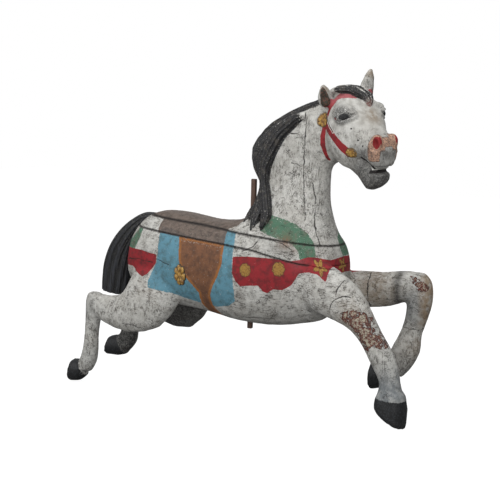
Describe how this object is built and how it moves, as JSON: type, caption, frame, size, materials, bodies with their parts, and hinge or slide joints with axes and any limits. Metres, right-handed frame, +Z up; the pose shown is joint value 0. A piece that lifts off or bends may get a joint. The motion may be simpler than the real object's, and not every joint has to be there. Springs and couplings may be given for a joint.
{
  "type": "carousel horse",
  "caption": "Carved and painted galloping carousel horse with turned head, flowing mane and separate tail, carried on a slim wooden post through its trunk.",
  "frame": {"origin": "centre of the flat lower end of the post", "axes": "+X towards the horse's front, +Y towards its left side, +Z up"},
  "size_m": [1.301, 0.3338, 1.1151],
  "materials": {
    "painted_carving": "old crackled paint, grey white ground with red, blue, green and brown trappings",
    "tail_paint": "old black paint, matt",
    "post_wood": "bare dark timber"
  },
  "bodies": {
    "root": {"horse": "painted_carving", "tail": "tail_paint", "post": "post_wood"}
  },
  "joints": []
}
